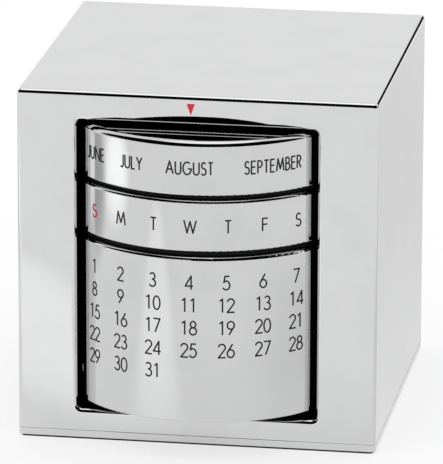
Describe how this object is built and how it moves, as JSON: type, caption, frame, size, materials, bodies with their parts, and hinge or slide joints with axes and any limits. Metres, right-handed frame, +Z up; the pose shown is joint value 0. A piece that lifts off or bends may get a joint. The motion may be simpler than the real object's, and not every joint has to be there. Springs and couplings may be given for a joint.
{
  "type": "perpetual desk calendar",
  "caption": "Mirror-chromed cube desk calendar: month ring, weekday ring and date drum turn on one upright spindle and stand proud of a tall front window.",
  "frame": {"origin": "centre of the case's square resting face, on the underside of the pad", "axes": "+Z up, the window and the rings face -Y, +X to the right as seen from the front"},
  "size_m": [0.076, 0.0865, 0.076],
  "materials": {
    "case_chrome": "mirror-polished chrome plate",
    "ring_chrome": "mirror-polished chrome plate with printed lettering",
    "black_moulding": "matt black moulding",
    "slip_moulding": "natural slip moulding",
    "pad_rubber": "thin black foam rubber",
    "bright_steel": "bright turned steel",
    "bush_brass": "turned brass",
    "red_enamel": "gloss red enamel fill"
  },
  "bodies": {
    "root": {"housing": "case_chrome", "inner_liner": "black_moulding", "base_plate": "case_chrome", "base_pad": "pad_rubber", "base_screws": "bright_steel", "spindle": "bright_steel", "spindle_screw": "bright_steel", "foot_spacer": "black_moulding", "lower_thrust_washer": "slip_moulding", "lower_separator": "black_moulding", "upper_separator": "black_moulding", "upper_thrust_washer": "slip_moulding", "wave_spring": "bright_steel", "pointer_mark": "red_enamel"},
    "month": {"month_cup": "ring_chrome", "month_hub": "black_moulding", "month_bush": "bush_brass"},
    "weekday": {"weekday_ring": "ring_chrome", "weekday_hub": "black_moulding", "weekday_bush": "bush_brass"},
    "date": {"date_drum": "ring_chrome", "date_upper_hub": "black_moulding", "date_lower_hub": "black_moulding", "date_upper_bush": "bush_brass", "date_lower_bush": "bush_brass"}
  },
  "joints": [
    {"name": "month_turn", "type": "hinge", "parent": "root", "child": "month", "pos_m": [0, -0.018, 0.06335], "axis": [0, 0, 1], "continuous": true},
    {"name": "weekday_turn", "type": "hinge", "parent": "root", "child": "weekday", "pos_m": [0, -0.018, 0.0511], "axis": [0, 0, 1], "continuous": true},
    {"name": "date_turn", "type": "hinge", "parent": "root", "child": "date", "pos_m": [0, -0.018, 0.0265], "axis": [0, 0, 1], "continuous": true}
  ]
}
